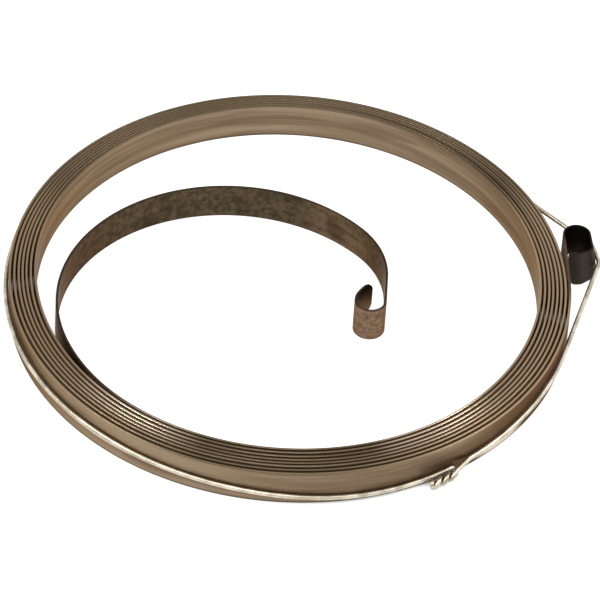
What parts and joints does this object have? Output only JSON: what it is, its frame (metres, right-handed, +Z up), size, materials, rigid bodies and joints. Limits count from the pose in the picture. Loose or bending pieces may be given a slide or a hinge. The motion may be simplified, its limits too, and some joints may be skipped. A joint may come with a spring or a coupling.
{
  "type": "recoil starter spring",
  "caption": "Recoil starter spring: a flat steel strip coiled on edge, with an open hook on its free inner arm and a closed eye at its outer end, held shut by a twisted wire.",
  "frame": {"origin": "on the axis of the coil, on the surface that the ring lies on", "axes": "+Z up along the coil's axis; the outer eye is on the +X side; seen from above, the strip winds inwards clockwise"},
  "size_m": [0.1227, 0.1172, 0.008],
  "materials": {
    "strip_steel": "tempered spring steel, oiled, satin, with brown heat tint",
    "galvanised_wire": "galvanised, semi-bright"
  },
  "bodies": {
    "root": {"spring_strip": "strip_steel", "binding_wire": "galvanised_wire"}
  },
  "joints": []
}
